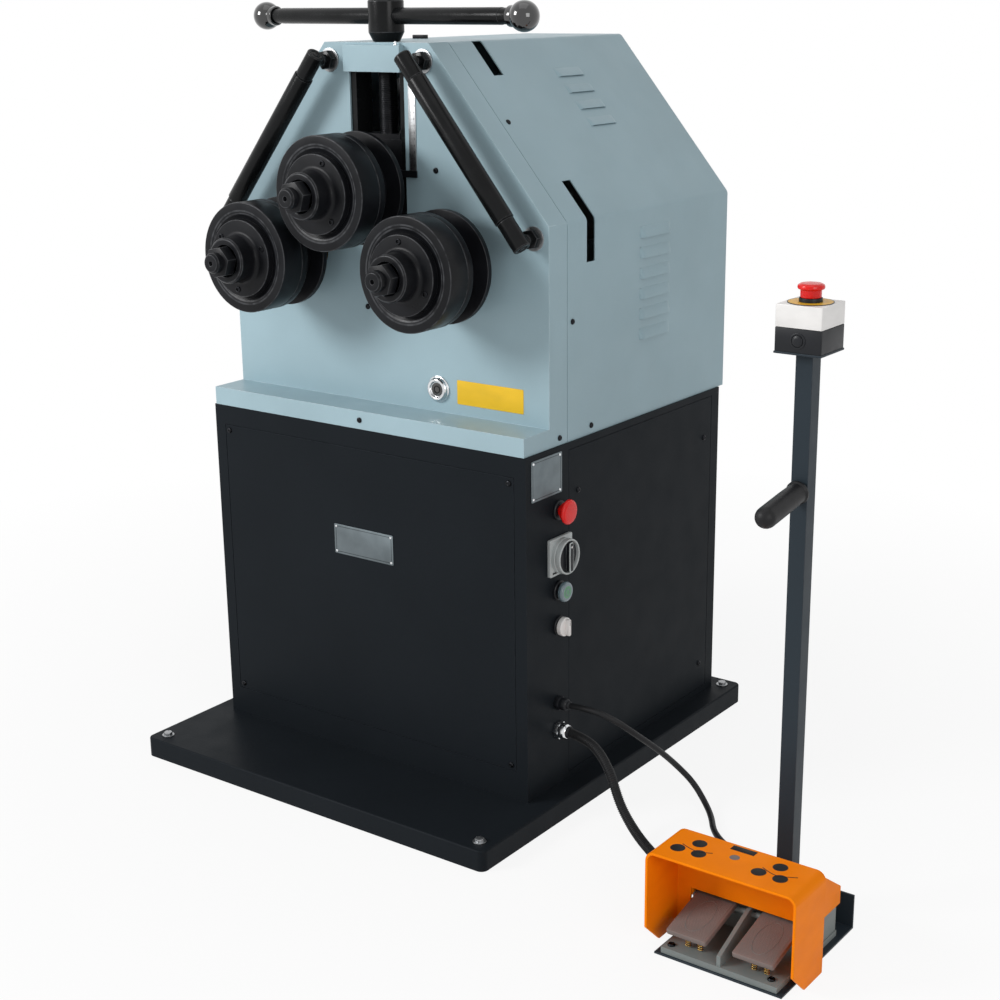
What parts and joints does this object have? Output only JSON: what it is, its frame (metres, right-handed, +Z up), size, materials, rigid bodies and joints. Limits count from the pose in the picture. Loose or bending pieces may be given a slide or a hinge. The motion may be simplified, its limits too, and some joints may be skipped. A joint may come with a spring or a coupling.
{
  "type": "ring roller",
  "caption": "Floor-standing ring roller: cabinet with a bevelled housing, overhung bending rollers, a screw with a cross handle on top, and a pedal console on cords",
  "frame": {"origin": "centre of the base plate's underside, where the machine stands on the floor", "axes": "+Z up, the rollers face -Y, the switches and the console are on the +X side"},
  "size_m": [1.2735, 0.847, 1.2682],
  "materials": {
    "dark_paint": "dark anthracite textured powder coat",
    "housing_paint": "light blue-grey semi-gloss paint",
    "console_paint": "dark anthracite powder coat",
    "blackened_steel": "oiled blackened steel, semi-gloss",
    "bare_steel": "machined steel",
    "zinc_steel": "zinc-plated steel",
    "bronze": "turned bearing bronze",
    "black_knob": "polished black moulding",
    "hood_plastic": "orange moulded plastic, fine grain",
    "pedal_plastic": "grey moulded plastic",
    "stop_plastic": "red glossy plastic",
    "start_plastic": "green rubber boot",
    "white_plastic": "off-white plastic",
    "black_plastic": "black plastic",
    "sight_glass": "sight glass in a steel bezel",
    "grip_rubber": "black rubber and cord sheath"
  },
  "bodies": {
    "machine": {"anchor_bolts": "zinc_steel", "base_plate": "dark_paint", "cabinet": "dark_paint", "console_post": "console_paint", "console_tray": "console_paint", "control_cable": "grip_rubber", "cord_glands": "black_plastic", "cover_screws": "blackened_steel", "deck_plate": "dark_paint", "frame_ties": "dark_paint", "front_bearing_plate": "bare_steel", "front_panel": "dark_paint", "front_section": "housing_paint", "gearbox": "dark_paint", "guide_bar_left": "blackened_steel", "guide_bar_right": "blackened_steel", "guide_bar_studs": "blackened_steel", "hand_grip": "grip_rubber", "isolator_base": "white_plastic", "label_plates": "zinc_steel", "main_cover": "housing_paint", "motor": "dark_paint", "oil_sight": "sight_glass", "pedal_base": "pedal_plastic", "pedal_hood": "hood_plastic", "rear_bearing_plate": "bare_steel", "ribbed_conduit": "grip_rubber", "shaft_bearings": "bronze", "side_door": "dark_paint", "slide_guides": "blackened_steel", "slot_bridge": "housing_paint", "spindle_nut": "bronze", "steel_rule": "bare_steel", "switch_bezels": "black_plastic", "switch_box": "black_plastic", "switch_box_lid": "white_plastic", "switchgear": "zinc_steel"},
    "slide": {"top_slide": "blackened_steel"},
    "handle": {"spindle": "blackened_steel", "handle_bar": "blackened_steel", "handle_balls": "black_knob"},
    "top_roller": {"roller_top": "blackened_steel", "clamp_top": "blackened_steel", "shaft_top": "blackened_steel"},
    "left_roller": {"roller_left": "blackened_steel", "clamp_left": "blackened_steel", "shaft_left": "blackened_steel", "gear_left": "bare_steel"},
    "right_roller": {"roller_right": "blackened_steel", "clamp_right": "blackened_steel", "shaft_right": "blackened_steel", "gear_right": "bare_steel"},
    "drive_shaft": {"drive_gear": "bare_steel"},
    "isolator": {"isolator_knob": "black_plastic"},
    "stop_press": {"stop_button": "stop_plastic"},
    "start_press": {"start_button": "start_plastic"},
    "selector": {"selector_knob": "white_plastic"},
    "console_stop_press": {"console_stop_button": "stop_plastic"},
    "left_treadle": {"pedal_left": "pedal_plastic"},
    "right_treadle": {"pedal_right": "pedal_plastic"}
  },
  "joints": [
    {"name": "top_lift", "type": "slide", "parent": "machine", "child": "slide", "axis": [0, 0, 1], "range_m": [0, 0.0706]},
    {"name": "handle_turn", "type": "hinge", "parent": "slide", "child": "handle", "pos_m": [0, -0.1332, 1.2433], "axis": [0, 0, 1], "range_deg": [0, 4230]},
    {"name": "top_spin", "type": "hinge", "parent": "slide", "child": "top_roller", "pos_m": [0, -0.1614, 0.9866], "axis": [0, 1, 0], "continuous": true},
    {"name": "left_spin", "type": "hinge", "parent": "machine", "child": "left_roller", "pos_m": [-0.1644, -0.1614, 0.8772], "axis": [0, 1, 0], "continuous": true},
    {"name": "right_spin", "type": "hinge", "parent": "machine", "child": "right_roller", "pos_m": [0.1644, -0.1614, 0.8772], "axis": [0, 1, 0], "continuous": true},
    {"name": "drive_turn", "type": "hinge", "parent": "machine", "child": "drive_shaft", "pos_m": [0, 0.092, 0.80391], "axis": [0, 1, 0], "continuous": true},
    {"name": "isolator_turn", "type": "hinge", "parent": "machine", "child": "isolator", "pos_m": [0.343, -0.1425, 0.4295], "axis": [1, 0, 0], "range_deg": [0, 90]},
    {"name": "stop_press_travel", "type": "slide", "parent": "machine", "child": "stop_press", "axis": [1, 0, 0], "range_m": [-0.005, 0]},
    {"name": "start_press_travel", "type": "slide", "parent": "machine", "child": "start_press", "axis": [1, 0, 0], "range_m": [-0.003, 0], "stiffness_N_per_m": 400},
    {"name": "selector_turn", "type": "hinge", "parent": "machine", "child": "selector", "pos_m": [0.3345, -0.1425, 0.311], "axis": [1, 0, 0], "range_deg": [-45, 45]},
    {"name": "console_stop_travel", "type": "slide", "parent": "machine", "child": "console_stop_press", "axis": [0, 0, 1], "range_m": [-0.005, 0]},
    {"name": "left_treadle_press", "type": "hinge", "parent": "machine", "child": "left_treadle", "pos_m": [0.741, -0.35, 0.05], "axis": [1, 0, 0], "range_deg": [0, 8], "stiffness_Nm_per_rad": 2, "springref_deg": -17.19},
    {"name": "right_treadle_press", "type": "hinge", "parent": "machine", "child": "right_treadle", "pos_m": [0.843, -0.35, 0.05], "axis": [1, 0, 0], "range_deg": [0, 8], "stiffness_Nm_per_rad": 2, "springref_deg": -17.19}
  ],
  "couplings": [
    {"joint": "top_lift", "follows": "handle_turn", "m_per_rad": 0.00095493},
    {"joint": "right_spin", "follows": "left_spin", "ratio": 1},
    {"joint": "drive_turn", "follows": "left_spin", "ratio": -2}
  ]
}
